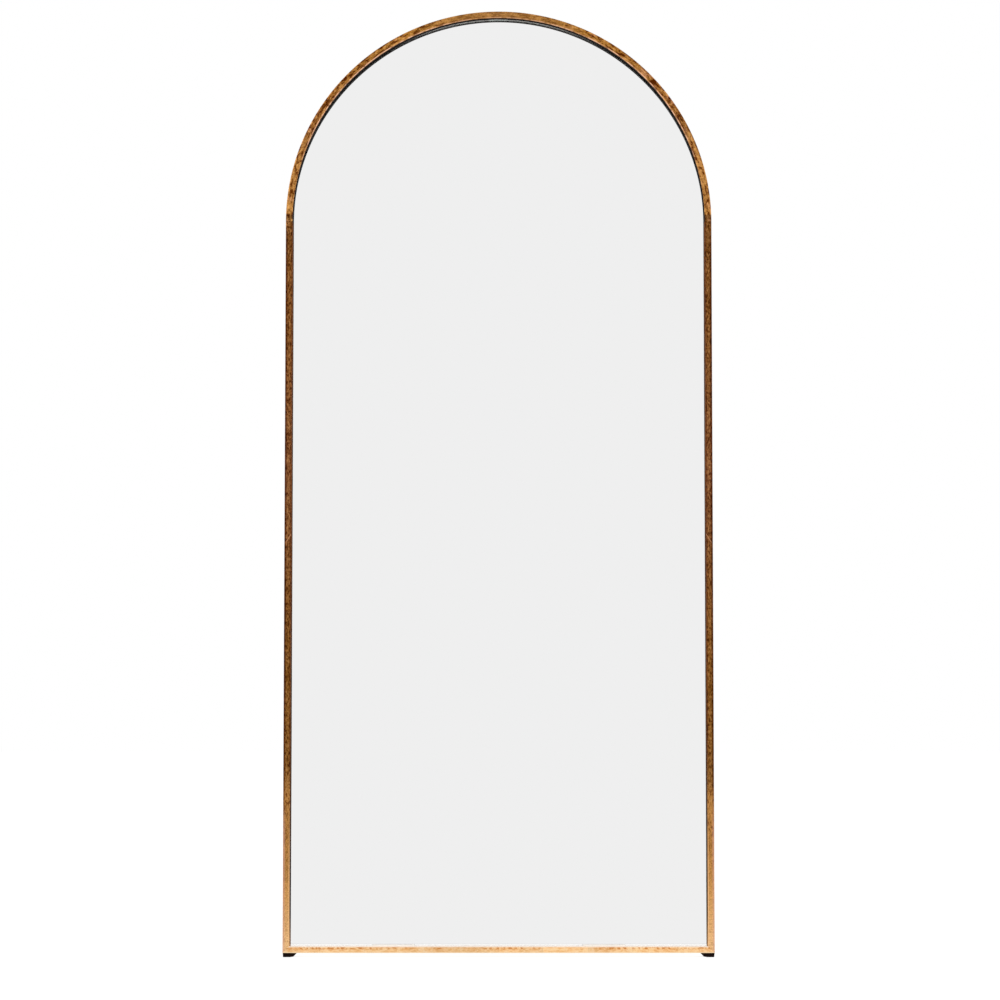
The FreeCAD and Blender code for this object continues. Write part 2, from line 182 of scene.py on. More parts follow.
def cut_holes(mesh, cutters):
    """The mesh with each cutter mesh taken out of it."""
    target = bpy.data.objects.new("target", mesh)
    bpy.context.scene.collection.objects.link(target)
    tools = []
    for cutter in cutters:
        tool = bpy.data.objects.new("tool", cutter)
        bpy.context.scene.collection.objects.link(tool)
        modifier = target.modifiers.new("cut", "BOOLEAN")
        modifier.operation, modifier.solver, modifier.object = "DIFFERENCE", "EXACT", tool
        tools.append(tool)
    bpy.context.view_layer.update()
    cut = bpy.data.meshes.new_from_object(target.evaluated_get(bpy.context.evaluated_depsgraph_get()))
    for spare in [target] + tools:
        bpy.data.objects.remove(spare)
    return cut


# ---- Materials ----

class Shader:
    """A material and short ways to add nodes to it."""

    def __init__(self, name):
        self.material = bpy.data.materials.new(name)
        self.material.use_nodes = True
        self.nodes = self.material.node_tree.nodes
        self.links = self.material.node_tree.links
        self.nodes.clear()
        self.output = self.nodes.new("ShaderNodeOutputMaterial")
        self.coords = self.nodes.new("ShaderNodeTexCoord").outputs["Object"]

    def put(self, socket, value):
        if isinstance(value, bpy.types.NodeSocket):
            self.links.new(value, socket)
        elif value is not None:
            socket.default_value = value

    def math(self, operation, a, b=None, c=None):
        node = self.nodes.new("ShaderNodeMath")
        node.operation = operation
        for socket, value in zip(node.inputs, (a, b, c)):
            self.put(socket, value)
        return node.outputs[0]

    def times(self, first, *others):
        """All the values multiplied."""
        for value in others:
            first = self.math("MULTIPLY", first, value)
        return first

    def swing(self, value, width):
        """A value from 0 to 1 as one that goes half the width below and above 0."""
        return self.times(self.math("SUBTRACT", value, 0.5), width)

    def ease(self, value, low, high, start=0.0, end=1.0):
        """start where value is at low or beyond it, end where it is at high, and smooth between."""
        node = self.nodes.new("ShaderNodeMapRange")
        node.interpolation_type = "SMOOTHSTEP"
        self.put(node.inputs["Value"], value)
        if low > high:
            low, high, start, end = high, low, end, start
        for name, number in (("From Min", low), ("From Max", high), ("To Min", start), ("To Max", end)):
            node.inputs[name].default_value = number
        return node.outputs["Result"]

    def mix(self, share, a, b, blend="MIX"):
        """Colours a and b mixed by share."""
        node = self.nodes.new("ShaderNodeMix")
        node.data_type, node.blend_type = "RGBA", blend
        self.put(node.inputs["Factor"], share)
        sockets = [s for s in node.inputs if s.type == "RGBA"]
        for socket, value in zip(sockets, (a, b)):
            self.put(socket, colour(value))
        return [s for s in node.outputs if s.type == "RGBA"][0]

    def scale(self, share, a):
        """Colour a times the number share."""
        node = self.nodes.new("ShaderNodeVectorMath")
        node.operation = "SCALE"
        self.put(node.inputs[0], a)
        self.put(node.inputs["Scale"], share)
        return node.outputs[0]

    def stretched(self, factors, coords=None):
        node = self.nodes.new("ShaderNodeVectorMath")
        node.operation = "MULTIPLY"
        self.put(node.inputs[0], coords or self.coords)
        node.inputs[1].default_value = factors
        return node.outputs[0]

    def turned(self, angle, coords):
        """The coordinates turned about their third axis."""
        node = self.nodes.new("ShaderNodeVectorRotate")
        node.rotation_type = "Z_AXIS"
        node.inputs["Angle"].default_value = angle
        self.put(node.inputs["Vector"], coords)
        return node.outputs[0]

    def noise(self, size, detail=3.0, roughness=0.55, coords=None, distortion=0.0, seed=0.0):
        """Noise whose features are about size metres across, from 0 to 1."""
        node = self.nodes.new("ShaderNodeTexNoise")
        node.noise_dimensions = "4D" if seed else "3D"
        self.put(node.inputs["Vector"], coords or self.coords)
        if seed:
            node.inputs["W"].default_value = seed
        node.inputs["Scale"].default_value = 1 / size
        node.inputs["Detail"].default_value = detail
        node.inputs["Roughness"].default_value = roughness
        node.inputs["Distortion"].default_value = distortion
        return node.outputs["Fac"]

    def random_of(self, number):
        """A random value from 0 to 1 that is the same for the same number."""
        node = self.nodes.new("ShaderNodeTexWhiteNoise")
        node.noise_dimensions = "1D"
        self.put(node.inputs["W"], number)
        return node.outputs["Value"]

    def ramp(self, value, stops):
        """Colours at places from 0 to 1."""
        node = self.nodes.new("ShaderNodeValToRGB")
        self.put(node.inputs["Fac"], value)
        elements = node.color_ramp.elements
        while len(elements) < len(stops):
            elements.new(0.5)
        for element, (place, shade) in zip(elements, stops):
            element.position, element.color = place, colour(shade)
        return node.outputs["Color"]

    def axes(self, source=None):
        node = self.nodes.new("ShaderNodeSeparateXYZ")
        self.put(node.inputs[0], source or self.coords)
        return node.outputs["X"], node.outputs["Y"], node.outputs["Z"]

    def bump(self, height, distance, strength=1.0):
        node = self.nodes.new("ShaderNodeBump")
        self.put(node.inputs["Height"], height)
        node.inputs["Distance"].default_value = distance
        node.inputs["Strength"].default_value = strength
        return node.outputs["Normal"]

    def surface(self, base, roughness, metallic=0.0, normal=None, **more):
        """The material's one surface shader."""
        node = self.nodes.new("ShaderNodeBsdfPrincipled")
        self.put(node.inputs["Base Color"], base)
        self.put(node.inputs["Roughness"], roughness)
        self.put(node.inputs["Metallic"], metallic)
        self.put(node.inputs["Normal"], normal)
        for name, value in more.items():
            self.put(node.inputs[name.replace("_", " ")], value)
        self.links.new(node.outputs[0], self.output.inputs["Surface"])
        return self.material


def colour(value):
    """An sRGB triple from 0 to 255 as the linear colour that a socket takes. Sockets pass through."""
    if isinstance(value, bpy.types.NodeSocket):
        return value
    linear = [c / 255 / 12.92 if c <= 10.31 else ((c / 255 + 0.055) / 1.055) ** 2.4 for c in value]
    return (*linear, 1.0)


# ---- Antique gold leaf on the frame ----

# The leaf's colour: on the arch from the springline to the crown, on the legs from the floor to the springline,
# and on the rail from place to place. On the legs and the rail it is part tone of the leaf and part painted light,
# which makes them paler towards the floor.
ARCH_LEAF = [(0.0, (180, 125, 62)), (0.17, (182, 128, 66)), (0.28, (146, 95, 45)), (0.39, (143, 88, 35)),
             (0.5, (158, 105, 45)), (0.72, (168, 114, 46)), (0.85, (164, 114, 56)), (1.0, (164, 115, 62))]
LEG_LEAF_AND_LIGHT = [(0.0, (248, 202, 148)), (0.04, (232, 180, 120)), (0.08, (212, 158, 94)), (0.125, (192, 138, 74)),
            (0.19, (184, 130, 66)), (0.215, (186, 132, 68)), (0.24, (142, 96, 42)), (0.4, (134, 88, 34)),
            (0.65, (136, 87, 52)), (0.85, (138, 89, 42)), (1.0, (116, 71, 26))]
RAIL_LEAF_AND_LIGHT = [(0.3, (250, 196, 136)), (0.7, (255, 216, 164))]
LEG_WALL = [(0.03, (204, 156, 108)), (0.08, (82, 50, 24)), (0.2, (90, 54, 24)), (0.6, (124, 72, 32))]
LACQUER = [(0.3, (20, 12, 8)), (0.75, (40, 26, 18))]

# For each member: the size of its worn and bright spots, their colours and how strong the fine grain is
SPOT_SIZE = {"arch": 0.0068, "leg": 0.0036, "rail": 0.005}
WORN_TINT = {"arch": (142, 100, 46), "leg": (150, 118, 80), "rail": (222, 190, 134)}
BRIGHT = {"arch": (226, 168, 98), "leg": (188, 138, 88), "rail": (255, 232, 200)}
GRAIN = {"arch": 2.1, "leg": 1.8, "rail": 0.5}

LEG_APART = 3
QUARTER_TURN = math.pi / 2
STROKE_ANGLE = 0.75
LEAF_SHEET = 0.042
LACQUER_DEPTH = (0.0358, 0.0364)
LEAF_METALLIC = 0.95


class Place:
    """Where a point lies on a frame member, as sockets.

    run goes along the member, across goes over its face from the side towards the glass, and depth goes from the
    front to the back. On the arch, angle is how far up the curve the point lies, from either springing.
    """

    def __init__(self, s, kind):
        x, y, self.z = s.axes()
        if kind == "arch":
            above = s.math("SUBTRACT", self.z, SPRING)
            radius = s.math("SQRT", s.math("ADD", s.times(x, x), s.times(above, above)))
            self.across = s.math("SUBTRACT", radius, INNER)
            self.angle = s.math("ARCTAN2", above, s.math("ABSOLUTE", x))
            self.run = s.times(s.math("ARCTAN2", above, x), MIDDLE)
        elif kind == "leg":
            self.across = s.math("SUBTRACT", s.math("ABSOLUTE", x), INNER)
            self.run = s.math("MULTIPLY_ADD", s.math("SIGN", x), LEG_APART, self.z)
        else:
            self.across = s.math("SUBTRACT", RAIL_TOP, self.z)
            self.run = x
        self.depth = s.math("SUBTRACT", y, FRONT)
        combine = s.nodes.new("ShaderNodeCombineXYZ")
        for socket, value in zip(combine.inputs, (self.run, self.across, self.depth)):
            s.put(socket, value)
        self.along = combine.outputs[0]
        self.slanted = s.turned(STROKE_ANGLE, self.along)


def leaf_and_light_colour(s, kind, at):
    """The leaf's colour, which changes from place to place, with painted light that pales the legs and rail
    towards the floor, and how restless it is there.
    """
    if kind == "leg":
        return s.ramp(s.math("DIVIDE", at.z, SPRING), LEG_LEAF_AND_LIGHT), s.ease(at.z, 0.1, 0.3, 0.35, 1.0)
    if kind == "rail":
        return s.ramp(s.noise(0.03, 3, 0.6, at.along), RAIL_LEAF_AND_LIGHT), 0.5
    leaf = s.ramp(s.math("DIVIDE", at.angle, QUARTER_TURN), ARCH_LEAF)
    leaf = s.mix(s.ease(at.angle, 0.036, 0.03), leaf, (122, 80, 36))
    pink = s.ease(s.noise(0.028, 2, 0.5, at.along, seed=7.0), 0.57, 0.66, 0.0, 0.5)
    leaf = s.mix(s.times(pink, s.ease(at.angle, 1.35, 1.05)), leaf, (206, 146, 108))
    return leaf, s.ease(at.angle, 0.95, 1.5, 1.15, 0.5)


def brushed(s, kind, at, body):
    """Strokes of the brush that laid the leaf, and a herringbone band of them on the legs."""
    strokes = s.noise(0.008, 3, 0.6, s.stretched((1, 4.5, 1), at.slanted), seed=5.0)
    where = s.ease(s.noise(0.05, 2, 0.5, at.along, seed=9.0), 0.46, 0.62)
    if kind == "leg":
        herringbone = s.times(s.ease(at.z, 0.2, 0.24), s.ease(at.z, 0.35, 0.32))
        where = s.math("MAXIMUM", s.times(where, s.ease(at.z, 0.2, 0.3)), herringbone)
    return s.mix(s.times(s.ease(strokes, 0.52, 0.62), where, 0.4), body, BRIGHT[kind])


def in_sheets(s, at, body):
    """Sheets of leaf laid one after another, each a little different. Also gives the thin laps between them."""
    sheets = s.math("DIVIDE", s.math("ADD", at.run, s.swing(s.noise(0.012, 2), 0.006)), LEAF_SHEET)
    tone = s.random_of(s.math("FLOOR", sheets))
    lap = s.ease(s.math("ABSOLUTE", s.math("SUBTRACT", s.math("FRACT", sheets), 0.5)), 0.486, 0.496)
    body = s.scale(s.math("MULTIPLY_ADD", tone, 0.14, 0.93), body)
    return s.scale(s.math("MULTIPLY_ADD", lap, -0.16, 1.0), body), lap


def front_edge_highlight(s, at):
    """1 along the front edge towards the glass, where a painted highlight makes the leaf pale."""
    return s.times(s.ease(at.across, 0.0021, 0.0014), s.ease(at.depth, 0.0016, 0.0009))


def arch_edges(s, at, body):
    # painted highlight along the front edge towards the glass, broken in places and strongest on the flanks
    broken = s.ease(s.noise(0.013, 2, 0.5, at.along, seed=4.0), 0.4, 0.54, 0.25, 1.0)
    edge_highlight = s.times(front_edge_highlight(s, at), s.ease(at.angle, 0.2, 0.5), s.ease(at.angle, 1.1, 1.5, 1.0, 0.45), broken)
    return s.mix(edge_highlight, body, (240, 186, 148))


def leg_edges(s, at, body):
    """A painted highlight along the front edge low down, painted shade along the outer side, a dark inner rim, one
    scratch and a blush at the foot.
    """
    near_front = s.ease(at.depth, 0.006, 0.003)
    edge_highlight = s.times(front_edge_highlight(s, at), s.ease(at.z, 0.3, 0.12), 0.7)
    body = s.mix(edge_highlight, body, (250, 198, 142))
    # painted shade: the outer side of the face is darker from the springline down to the lower legs, where the
    # rounded outer edge falls into shade
    band = s.times(s.ease(at.across, FACE - 0.0044, FACE - 0.003), s.ease(at.z, SPRING, SPRING - 0.05),
                   s.ease(at.z, 0.22, 0.36, 0.0, 0.95), near_front)
    body = s.mix(band, body, (172, 142, 128), "MULTIPLY")
    rim = s.times(s.ease(at.across, 0.0028, 0.0012), s.ease(at.z, 0.3, 0.4, 0.0, 0.8))
    body = s.mix(rim, body, (186, 146, 96), "MULTIPLY")
    line = s.math("MULTIPLY_ADD", at.across, -1.6, 0.7975)
    scratch = s.ease(s.math("ABSOLUTE", s.math("SUBTRACT", at.z, line)), 0.0022, 0.001)
    body = s.mix(s.times(scratch, s.ease(at.across, 0.011, 0.009), 0.5), body, (214, 154, 112))
    blush = s.times(s.ease(at.across, FACE - 0.0052, FACE - 0.002), s.ease(at.z, 0.3, 0.22), near_front, 0.45)
    return s.mix(blush, body, (214, 160, 142))


def rail_edges(s, at, body):
    """A painted highlight along the front lip and the lower edge, and amber scallops where the leaf was brushed
    thin along the top.
    """
    body = s.mix(s.times(front_edge_highlight(s, at), 0.8), body, (255, 240, 226))
    # painted highlight along the lower edge, where light from the floor falls on it
    body = s.mix(s.times(s.ease(at.across, FACE - 0.0028, FACE - 0.0016), 0.6), body, (255, 230, 190))
    edge = s.times(s.ease(at.across, 0.0075, 0.004), s.ease(at.across, 0.001, 0.0028))
    patch = s.ease(s.noise(0.06, 2, 0.5, at.along, seed=2.0), 0.38, 0.5)
    scallop = s.ease(s.noise(0.0065, 3, 0.6, s.stretched((1, 0.6, 1), at.slanted)), 0.47, 0.56)
    return s.mix(s.times(edge, patch, scallop, 0.85), body, (206, 126, 50))


def arch_wall(s, at, inside, dark):
    """The arch's lacquered inner wall, with a painted reflection that makes it paler grey deep inside the top, and
    a painted highlight at the crown.
    """
    dark = s.scale(s.math("MULTIPLY_ADD", inside, -0.6, 1.0), dark)
    patchy = s.ease(s.noise(0.009, 3, 0.6, at.along), 0.36, 0.5, 0.55, 1.0)
    painted_reflection = s.times(s.ease(at.depth, 0.0142, 0.0152), s.ease(at.angle, 1.0, 1.42), patchy, inside)
    dark = s.mix(painted_reflection, dark, (228, 224, 221))
    # painted highlight on the wall at the crown
    crown = s.ease(at.angle, QUARTER_TURN - 0.05, QUARTER_TURN - 0.044)
    crown_highlight = s.times(crown, s.ease(at.depth, 0.0135, 0.0145), inside)
    return s.mix(crown_highlight, dark, (252, 255, 253))


def gilding(name, kind):
    """Antique gold leaf. kind is the frame member that it covers: arch, leg or rail."""
    s = Shader(name)
    at = Place(s, kind)
    body, contrast = leaf_and_light_colour(s, kind, at)

    # worn and bright spots, strokes of the brush, and a fine grain
    drift = s.swing(s.noise(0.032, 2, 0.5, at.along, seed=3.0), 0.2)
    spots = s.noise(SPOT_SIZE[kind], 4, 0.72, s.stretched((0.5, 1.3, 1.3), at.along), 0.4)
    mottle = s.math("ADD", spots, drift)
    worn = s.ease(mottle, 0.51, 0.42)
    bright = s.ease(mottle, 0.53, 0.63)
    body = s.mix(s.times(worn, contrast), body, WORN_TINT[kind], "MULTIPLY")
    body = s.mix(s.times(bright, contrast, 0.55), body, BRIGHT[kind])
    body = brushed(s, kind, at, body)
    grain = s.noise(0.0024, 3, 0.7, at.along)
    body = s.scale(s.math("MULTIPLY_ADD", grain, GRAIN[kind], 1 - GRAIN[kind] / 2), body)
    body, lap = in_sheets(s, at, body)
    body = {"arch": arch_edges, "leg": leg_edges, "rail": rail_edges}[kind](s, at, body)

    # dark lacquer with a ragged edge on the back, and on the arch's and the legs' wall towards the glass
    ragged = s.swing(s.noise(0.004, 4, 0.6), 0.0022)
    behind = s.ease(s.math("ADD", at.depth, ragged), *LACQUER_DEPTH)
    inside = s.times(s.ease(at.across, 0.0005, 0.00015), s.ease(at.depth, 0.0009, 0.0013))
    dark = s.ramp(s.noise(0.006, 4, 0.6), LACQUER)
    if kind == "rail":
        # the rail's wall towards the glass: gold leaf, paled to near white by painted light from above
        body = s.mix(s.times(inside, 0.85), body, (255, 244, 232))
        lacquer = behind
    else:
        lacquer = s.math("MAXIMUM", behind, inside)
    if kind == "arch":
        dark = arch_wall(s, at, inside, dark)
    elif kind == "leg":
        dark = s.mix(inside, dark, s.ramp(at.z, LEG_WALL))
    body = s.mix(lacquer, body, dark)

    metallic = s.math("MULTIPLY_ADD", lacquer, -LEAF_METALLIC, LEAF_METALLIC)
    roughness = s.math("ADD", s.math("MULTIPLY_ADD", spots, 0.3, 0.24), s.times(lacquer, 0.3))
    if kind == "rail":
        roughness = s.times(roughness, s.math("MULTIPLY_ADD", inside, -0.8, 1.0))
    relief = s.math("ADD", s.times(worn, -0.6), s.math("ADD", grain, s.times(lap, 0.5)))
    return s.surface(body, roughness, metallic, s.bump(relief, 0.0001, 0.5), Specular_IOR_Level=0.05)


# ---- Everything else ----

def silvered_glass():
    """A mirror: silver seen through the glass, with frosted arris and green polished edges."""
    s = Shader("silvered_glass")
    normal = s.nodes.new("ShaderNodeTexCoord").outputs["Normal"]
    _, facing, _ = s.axes(normal)
    front = s.ease(facing, -0.9, -0.97)
    behind = s.ease(facing, 0.9, 0.97)
    edge = s.ramp(s.noise(0.004, 3), [(0.3, (92, 128, 112)), (0.7, (128, 160, 142))])
    edge = s.mix(s.ease(facing, -0.4, -0.6), edge, (214, 219, 216))
    base = s.mix(front, edge, (239, 239, 239))
    base = s.mix(behind, base, s.ramp(s.noise(0.01, 3), [(0.3, (92, 96, 98)), (0.7, (104, 108, 110))]))
    smudge = s.times(s.ease(s.noise(0.12, 4, 0.6), 0.55, 0.75), 0.012)
    roughness = s.math("MULTIPLY_ADD", front, -0.22, 0.22)
    return s.surface(base, s.math("ADD", roughness, smudge), front)


def plain(name, low, high, size, roughness, rough_range=0.1, metallic=0.0, bump=0.0, **more):
    """A material mottled between two colours."""
    s = Shader(name)
    noise = s.noise(size, 4, 0.6)
    base = s.ramp(noise, [(0.3, low), (0.7, high)])
    rough = s.math("MULTIPLY_ADD", s.noise(size * 0.6, 3, 0.6), rough_range, roughness - rough_range / 2)
    normal = s.bump(noise, bump) if bump else None
    return s.surface(base, rough, metallic, normal, **more)


def fibreboard():
    """Raw medium-density board: fine fibres with darker flecks."""
    s = Shader("fibreboard")
    fibres = s.noise(0.0016, 5, 0.7, coords=s.stretched((1, 1, 0.35)), distortion=0.6)
    flecks = s.ease(s.noise(0.0009, 3, 0.7), 0.6, 0.72)
    cloud = s.noise(0.16, 3, 0.5)
    base = s.ramp(fibres, [(0.25, (138, 104, 70)), (0.5, (160, 124, 86)), (0.8, (180, 146, 106))])
    base = s.mix(s.times(flecks, 0.5), base, (98, 70, 44))
    base = s.scale(s.math("MULTIPLY_ADD", cloud, 0.16, 0.92), base)
    return s.surface(base, 0.82, 0.0, s.bump(fibres, 0.0002, 0.5))


GOLD = {kind: gilding(f"gold_leaf_{kind}", kind) for kind in ("arch", "leg", "rail")}
GLASS = silvered_glass()
BOARD = fibreboard()
FILM = plain("shatter_film", (226, 228, 224), (240, 241, 238), 0.01, 0.35)
FOAM = plain("foam_tape", (222, 220, 212), (244, 243, 238), 0.0012, 0.85, bump=0.0002)
BLACK_STEEL = plain("painted_steel", (20, 20, 21), (34, 34, 35), 0.004, 0.42, rough_range=0.16, bump=0.00006)
WELD = plain("painted_weld", (24, 24, 26), (44, 43, 43), 0.0012, 0.4, rough_range=0.2, bump=0.00008)
PLATED = plain("zinc_plate", (176, 177, 176), (206, 206, 203), 0.003, 0.3, rough_range=0.14, metallic=1.0,
               bump=0.00002)
SCREW_ZINC = plain("zinc_screw", (182, 178, 164), (212, 206, 188), 0.002, 0.28, rough_range=0.12, metallic=1.0,
                   bump=0.00002)
ALUMINIUM = plain("mill_aluminium", (186, 187, 189), (206, 207, 209), 0.006, 0.36, metallic=1.0, bump=0.00002)
BLOCK = plain("block_silicone", (247, 247, 245), (253, 253, 252), 0.003, 0.5, bump=0.0001)
BUMPER = plain("bumper_rubber", (44, 42, 40), (58, 56, 53), 0.0016, 0.62, rough_range=0.12, bump=0.00005)
FOOT = plain("foot_rubber", (16, 6, 5), (28, 13, 11), 0.0022, 0.62, rough_range=0.14, bump=0.00008,
             Specular_IOR_Level=0.06)

BY_PREFIX = {
    "frame_arch": GOLD["arch"], "frame_leg": GOLD["leg"], "frame_bottom": GOLD["rail"],
    "mirror_glass": GLASS, "shatter_film": FILM, "foam_tape": FOAM, "backing_board": BOARD,
    "setting_block": BLOCK, "board_tab_screws": SCREW_ZINC, "board_tab": BLACK_STEEL,
    "splice_bar": ALUMINIUM, "corner_key_screws": SCREW_ZINC, "corner_key": ALUMINIUM,
    "splice_screws": SCREW_ZINC, "hanger_strap": PLATED, "hanger_ring": PLATED,
    "hanger_screws": SCREW_ZINC, "wall_bumper": BUMPER, "foot_washer": PLATED,
    "foot_screw": SCREW_ZINC, "foot": FOOT,
}
for node_name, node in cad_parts.items():
    prefix = max((p for p in BY_PREFIX if node_name.startswith(p)), key=len)
    node.data.materials.clear()
    node.data.materials.append(BY_PREFIX[prefix])

# ---- Frame members ----

SAME_VERTEX = 0.000002
MITRE_STEP = 0.0002
MITRE_CLEAR = 0.002
END_STEP = 0.0004
ARCH_STEPS = 180
LEG_STEPS = 60
RAIL_HALF_STEPS = 30

# Holes in the back for the countersunk heads, as (radius, height) from the back face
HEAD_RADIUS, SHANK_RADIUS = 0.0036, 0.00205
HEAD_HOLE = [(HEAD_RADIUS, 0.001), (HEAD_RADIUS, 0.00005), (SHANK_RADIUS, -0.0015), (SHANK_RADIUS, -0.006)]
FOOT_HOLE = [(0.0027, -0.001), (0.0027, 0.0031)]


def countersink(x, z):
    return lathe_mesh("countersink", HEAD_HOLE, (x, BACK, z), (0, 1, 0))


def screw_places(node_name):
    """The middle of each separate solid of a CAD node, as (x, z)."""
    work = bmesh.new()
    work.from_mesh(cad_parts[node_name].data)
    bmesh.ops.remove_doubles(work, verts=work.verts, dist=SAME_VERTEX)
    left, places = set(work.verts), []
    while left:
        stack, group = [left.pop()], []
        while stack:
            vert = stack.pop()
            group.append(vert.co.copy())
            for edge in vert.link_edges:
                other = edge.other_vert(vert)
                if other in left:
                    left.remove(other)
                    stack.append(other)
        places.append([(min(c[i] for c in group) + max(c[i] for c in group)) / 2 for i in (0, 2)])
    work.free()
    return sorted(places)


def arch_point(t, a, y):
    radius, turn = MIDDLE + a, math.pi * t
    return Vector((radius * math.cos(turn), y, SPRING + RISE * radius * math.sin(turn)))


def leg_point(side):
    """Points of a leg. Runs below 0 lie along the mitre."""
    low_end = RAIL_TOP + MITRE_CLEAR

    def place(t, a, y):
        mitre = RAIL_BOTTOM + FACE / 2 - a
        if t < 0:
            z = mitre + (MITRE_STEP if t > -1 else 0)
        else:
            z = low_end + (SPRING - low_end) * t
        return Vector((side * (MIDDLE + a), y, z))
    return place


def rail_point(t, a, y):
    """Points of the bottom rail. Runs beyond -1 and 1 lie along the mitres."""
    reach = OUTER - FACE / 2 + a
    if abs(t) > 1:
        x = math.copysign(reach - (MITRE_STEP if abs(t) < 2 else 0), t)
    else:
        x = t * (INNER - MITRE_CLEAR)
    return Vector((x, y, RAIL_BOTTOM + FACE / 2 - a))


arch_runs = (0.0, END_STEP, *(k / ARCH_STEPS for k in range(1, ARCH_STEPS)), 1 - END_STEP, 1.0)
leg_runs = (-1.0, -0.9, *(k / LEG_STEPS for k in range(LEG_STEPS)), 0.9998, 1.0)
rail_runs = (-2.0, -1.9, *(k / RAIL_HALF_STEPS for k in range(-RAIL_HALF_STEPS, RAIL_HALF_STEPS + 1)), 1.9, 2.0)

arch = sweep_tube("frame_arch_gilded", arch_point, arch_runs)
arch = cut_holes(arch, [countersink(x, z) for node in ("splice_screws_left", "splice_screws_right")
                        for x, z in screw_places(node) if z > SPRING])
stand_for(make_object("frame_arch_gilded", arch, GOLD["arch"]), ["frame_arch"], "mirror")
for side_name, side in (("left", -1), ("right", 1)):
    leg = sweep_tube(f"frame_leg_{side_name}_gilded", leg_point(side), leg_runs)
    holes = [p for p in screw_places(f"splice_screws_{side_name}") if p[1] < SPRING]
    holes += [p for p in screw_places(f"corner_key_screws_{side_name}") if p[1] > RAIL_TOP]
    leg = cut_holes(leg, [countersink(x, z) for x, z in holes])
    stand_for(make_object(f"frame_leg_{side_name}_gilded", leg, GOLD["leg"]), [f"frame_leg_{side_name}"],
              "mirror")
rail = sweep_tube("frame_bottom_rail_gilded", rail_point, rail_runs)
holes = [p for name in ("left", "right") for p in screw_places(f"corner_key_screws_{name}") if p[1] < RAIL_TOP]
cutters = [countersink(x, z) for x, z in holes]
for name in ("left", "right"):
    low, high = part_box(f"foot_screw_{name}")
    middle = (low + high) / 2
    cutters.append(lathe_mesh("foot_hole", FOOT_HOLE, (middle.x, middle.y, RAIL_BOTTOM), (0, 0, 1), 40))
rail = cut_holes(rail, cutters)
stand_for(make_object("frame_bottom_rail_gilded", rail, GOLD["rail"]), ["frame_bottom_rail"], "mirror")

# ---- Weld beads where the tabs meet the frame ----

tab_low, tab_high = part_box("board_tab_left_1")
TAB_THICKNESS = 0.002
TAB_HALF = (tab_high.z - tab_low.z) / 2
TAB_BACK = tab_low.y + TAB_THICKNESS
BEAD = 0.0017
BEAD_SINK = 0.0001
BEAD_TAPER = 0.0012
BEAD_STATIONS, BEAD_ARC = 96, 8
RIPPLE = 0.0016


def bead_seat(node_name):
    """Where a tab meets the frame: a function from the distance along the joint to a place and its inward side."""
    low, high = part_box(node_name)
    centre = (low + high) / 2
    if "_arch_" in node_name:
        middle = round(math.degrees(math.atan2(centre.z - SPRING, centre.x)))

        def seat(t):
            turn = math.radians(middle) + t / INNER
            outward = Vector((math.cos(turn), 0, math.sin(turn)))
            return Vector((0, 0, SPRING)) + outward * INNER, -outward
    elif "_rail_" in node_name:
        def seat(t):
            return Vector((centre.x + t, 0, RAIL_TOP)), Vector((0, 0, 1))
    else:
        side = math.copysign(1, centre.x)

        def seat(t):
            return Vector((side * INNER, 0, centre.z + t)), Vector((-side, 0, 0))
    return seat


def weld_bead(name, seat):
    """A rippled quarter-round bead in the corner between the tab's back and the frame."""
    across = Vector((0, 1, 0))
    ring = BEAD_ARC + 2
    points, faces = [], []
    for k in range(BEAD_STATIONS + 1):
        t = -TAB_HALF + 2 * TAB_HALF * k / BEAD_STATIONS
        phase = (t / RIPPLE) % 1
        end = min(1.0, (TAB_HALF - abs(t)) / BEAD_TAPER)
        radius = BEAD * (0.86 + 0.14 * math.sqrt(1 - (2 * phase - 1) ** 2)) * (0.55 + 0.45 * end)
        place, inward = seat(t)
        corner = place + across * TAB_BACK
        points.append(corner - inward * BEAD_SINK - across * BEAD_SINK)
        for step in range(BEAD_ARC + 1):
            turn = math.pi / 2 * step / BEAD_ARC
            u = radius * math.cos(turn) if step < BEAD_ARC else -BEAD_SINK
            v = radius * math.sin(turn) if step else -BEAD_SINK
            points.append(corner + inward * u + across * v)
    last = BEAD_STATIONS * ring
    for start in range(0, last, ring):
        faces += ring_faces(start, start + ring, ring)
    faces.append(tuple(range(ring)))
    faces.append(tuple(range(last, last + ring)))
    return mesh_from(name, points, faces)


for node_name in sorted(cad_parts):
    if node_name.startswith("board_tab_") and node_name != "board_tab_screws":
        bead_name = node_name.replace("board_tab", "weld_bead")
        bead = make_object(bead_name, weld_bead(bead_name, bead_seat(node_name)), WELD, 50)
        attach(bead, "mirror")

# ---- Glass ----

GLASS_ARC_STEPS = 180
ARRIS = 0.0005
BACK_ARRIS = 0.0001


def arched_outline(half, bottom):
    points = [(-half, bottom), (half, bottom)]
    for step in range(GLASS_ARC_STEPS + 1):
        turn = math.pi * step / GLASS_ARC_STEPS
        points.append((half * math.cos(turn), SPRING + half * math.sin(turn)))
    return points


def arched_plate(name, half, bottom, front, back):
    """The pane, with a ground arris along its front edge."""
    rings = [(ARRIS, front), (0, front + ARRIS), (0, back - BACK_ARRIS), (BACK_ARRIS, back)]
    points, faces = [], []
    for inset, y in rings:
        points += [(x, y, z) for x, z in arched_outline(half - inset, bottom + inset)]
    count = len(points) // len(rings)
    last = (len(rings) - 1) * count
    for start in range(0, last, count):
        faces += ring_faces(start, start + count, count)
    faces.append(tuple(range(count)))
    faces.append(tuple(range(last, last + count)))
    return mesh_from(name, points, faces)


